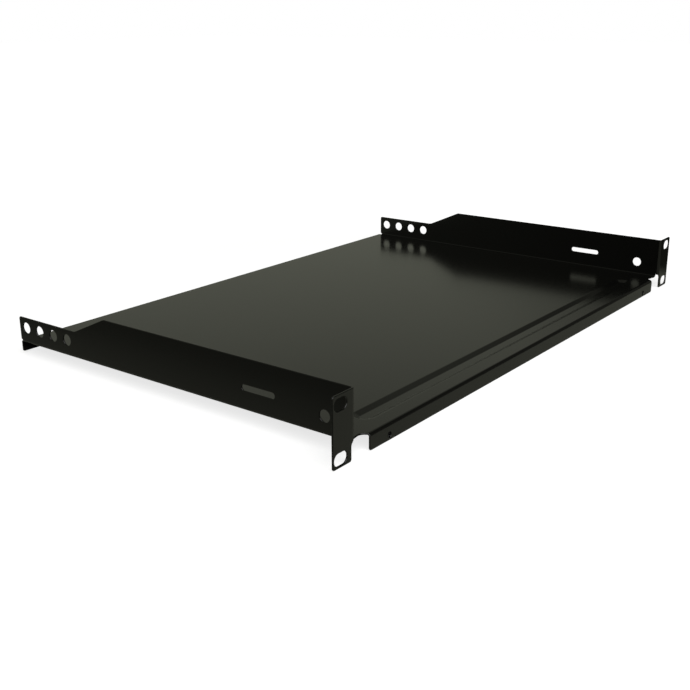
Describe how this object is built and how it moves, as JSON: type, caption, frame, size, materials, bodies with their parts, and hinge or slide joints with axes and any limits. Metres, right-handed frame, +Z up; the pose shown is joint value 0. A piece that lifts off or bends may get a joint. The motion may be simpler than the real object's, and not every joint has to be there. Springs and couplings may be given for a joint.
{
  "type": "cantilever rack shelf",
  "caption": "Shallow folded-sheet rack shelf with upturned side walls, slotted front ears, a turned-down front lip and a rear flange, for carrying equipment that has no ears of its own.",
  "frame": {"origin": "middle of the outline seen from above, at the height of the lowest edge (the ears and the front lip end there)", "axes": "+X across the rack to the right as seen from the front, +Y into the rack towards the rear flange, +Z up; the ears' front face is at the -Y end"},
  "size_m": [0.479, 0.3, 0.0427],
  "materials": {
    "shelf": "satin black powder coat on steel sheet"
  },
  "bodies": {
    "root": {"shelf": "shelf"}
  },
  "joints": []
}
